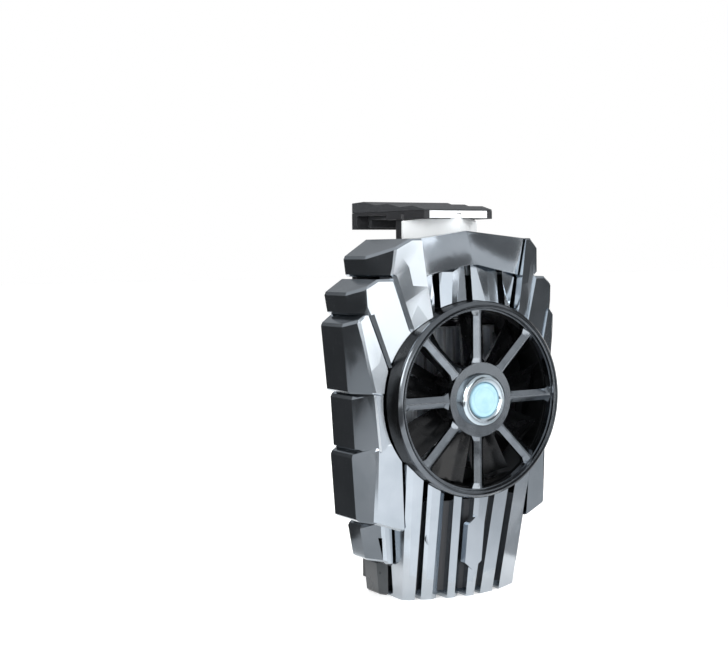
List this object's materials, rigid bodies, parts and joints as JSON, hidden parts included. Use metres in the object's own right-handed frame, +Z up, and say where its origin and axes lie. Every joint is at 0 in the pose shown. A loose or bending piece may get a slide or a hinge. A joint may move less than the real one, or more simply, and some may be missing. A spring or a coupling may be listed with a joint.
{
  "type": "phone cooling fan",
  "caption": "Clip-on phone cooler: stepped armour casing with a guarded fan over a thermoelectric plate, and a sprung jaw that slides to grip a phone.",
  "frame": {"origin": "centre of the thermal pad's face that touches the phone, on the fan's axis", "axes": "+X to the right as seen from the fan's side, +Y towards the phone, +Z up from the fixed jaw to the sliding jaw"},
  "size_m": [0.0498, 0.0308, 0.0777],
  "materials": {
    "plated_cover": "satin gunmetal electroplating on plastic",
    "black_plastic": "moulded black, half gloss",
    "polished_trim": "polished dark chrome",
    "guard_metal": "plated spokes with bright bevels",
    "bright_trim": "bright chrome plating",
    "clear_lens": "milky clear, lit from behind",
    "soft_rubber": "soft touch",
    "screw_steel": "dark zinc plated",
    "jaw_plastic": "moulded black",
    "spring_steel": "bright drawn wire",
    "thermal_pad": "grey silicone",
    "bare_aluminium": "machined",
    "ceramic": "white ceramic plates",
    "fan_plastic": "moulded black, smooth blades",
    "magnet": "bonded ferrite",
    "sleeve_brass": "sintered bronze",
    "stator_steel": "stacked sheet",
    "winding": "enamelled copper wire",
    "board": "green solder mask",
    "led": "white lamp chips",
    "chip": "black resin",
    "port_steel": "drawn steel shell"
  },
  "bodies": {
    "housing": {"crown_cover": "plated_cover", "column_cover": "plated_cover", "vent_liner": "black_plastic", "side_cover_left": "plated_cover", "side_cover_right": "plated_cover", "bezel_ring": "black_plastic", "rim_trim": "polished_trim", "fan_guard": "guard_metal", "hub_bezel": "bright_trim", "light_lens": "clear_lens", "rear_frame": "black_plastic", "rear_pads": "soft_rubber", "cover_screws": "screw_steel", "lower_jaw": "black_plastic", "lower_jaw_pad": "soft_rubber", "lower_jaw_screws": "screw_steel", "jaw_springs": "spring_steel", "contact_pad": "thermal_pad", "cold_plate": "bare_aluminium", "peltier_module": "ceramic", "heatsink": "bare_aluminium", "heatsink_screws": "screw_steel", "fan_frame": "black_plastic", "fan_screws": "screw_steel", "bearing_sleeve": "sleeve_brass", "stator_core": "stator_steel", "stator_coils": "winding", "motor_board": "board", "led_board": "board", "leds": "led", "control_board": "board", "board_parts": "chip", "usb_c_port": "port_steel"},
    "jaw": {"upper_jaw": "jaw_plastic", "jaw_stem_cover": "bright_trim", "jaw_trim": "bright_trim", "jaw_grip": "soft_rubber", "upper_jaw_pad": "soft_rubber", "spring_pins": "screw_steel"},
    "rotor": {"impeller": "fan_plastic", "rotor_magnet": "magnet", "rotor_shaft": "spring_steel"}
  },
  "joints": [
    {"name": "jaw_slide", "type": "slide", "parent": "housing", "child": "jaw", "axis": [0, 0, 1], "range_m": [-0.0035, 0.0085], "stiffness_N_per_m": 150, "springref_m": -0.0035, "deforming": ["jaw_springs"]},
    {"name": "fan_spin", "type": "hinge", "parent": "housing", "child": "rotor", "pos_m": [0, -0.014, 0], "axis": [0, -1, 0], "continuous": true}
  ]
}
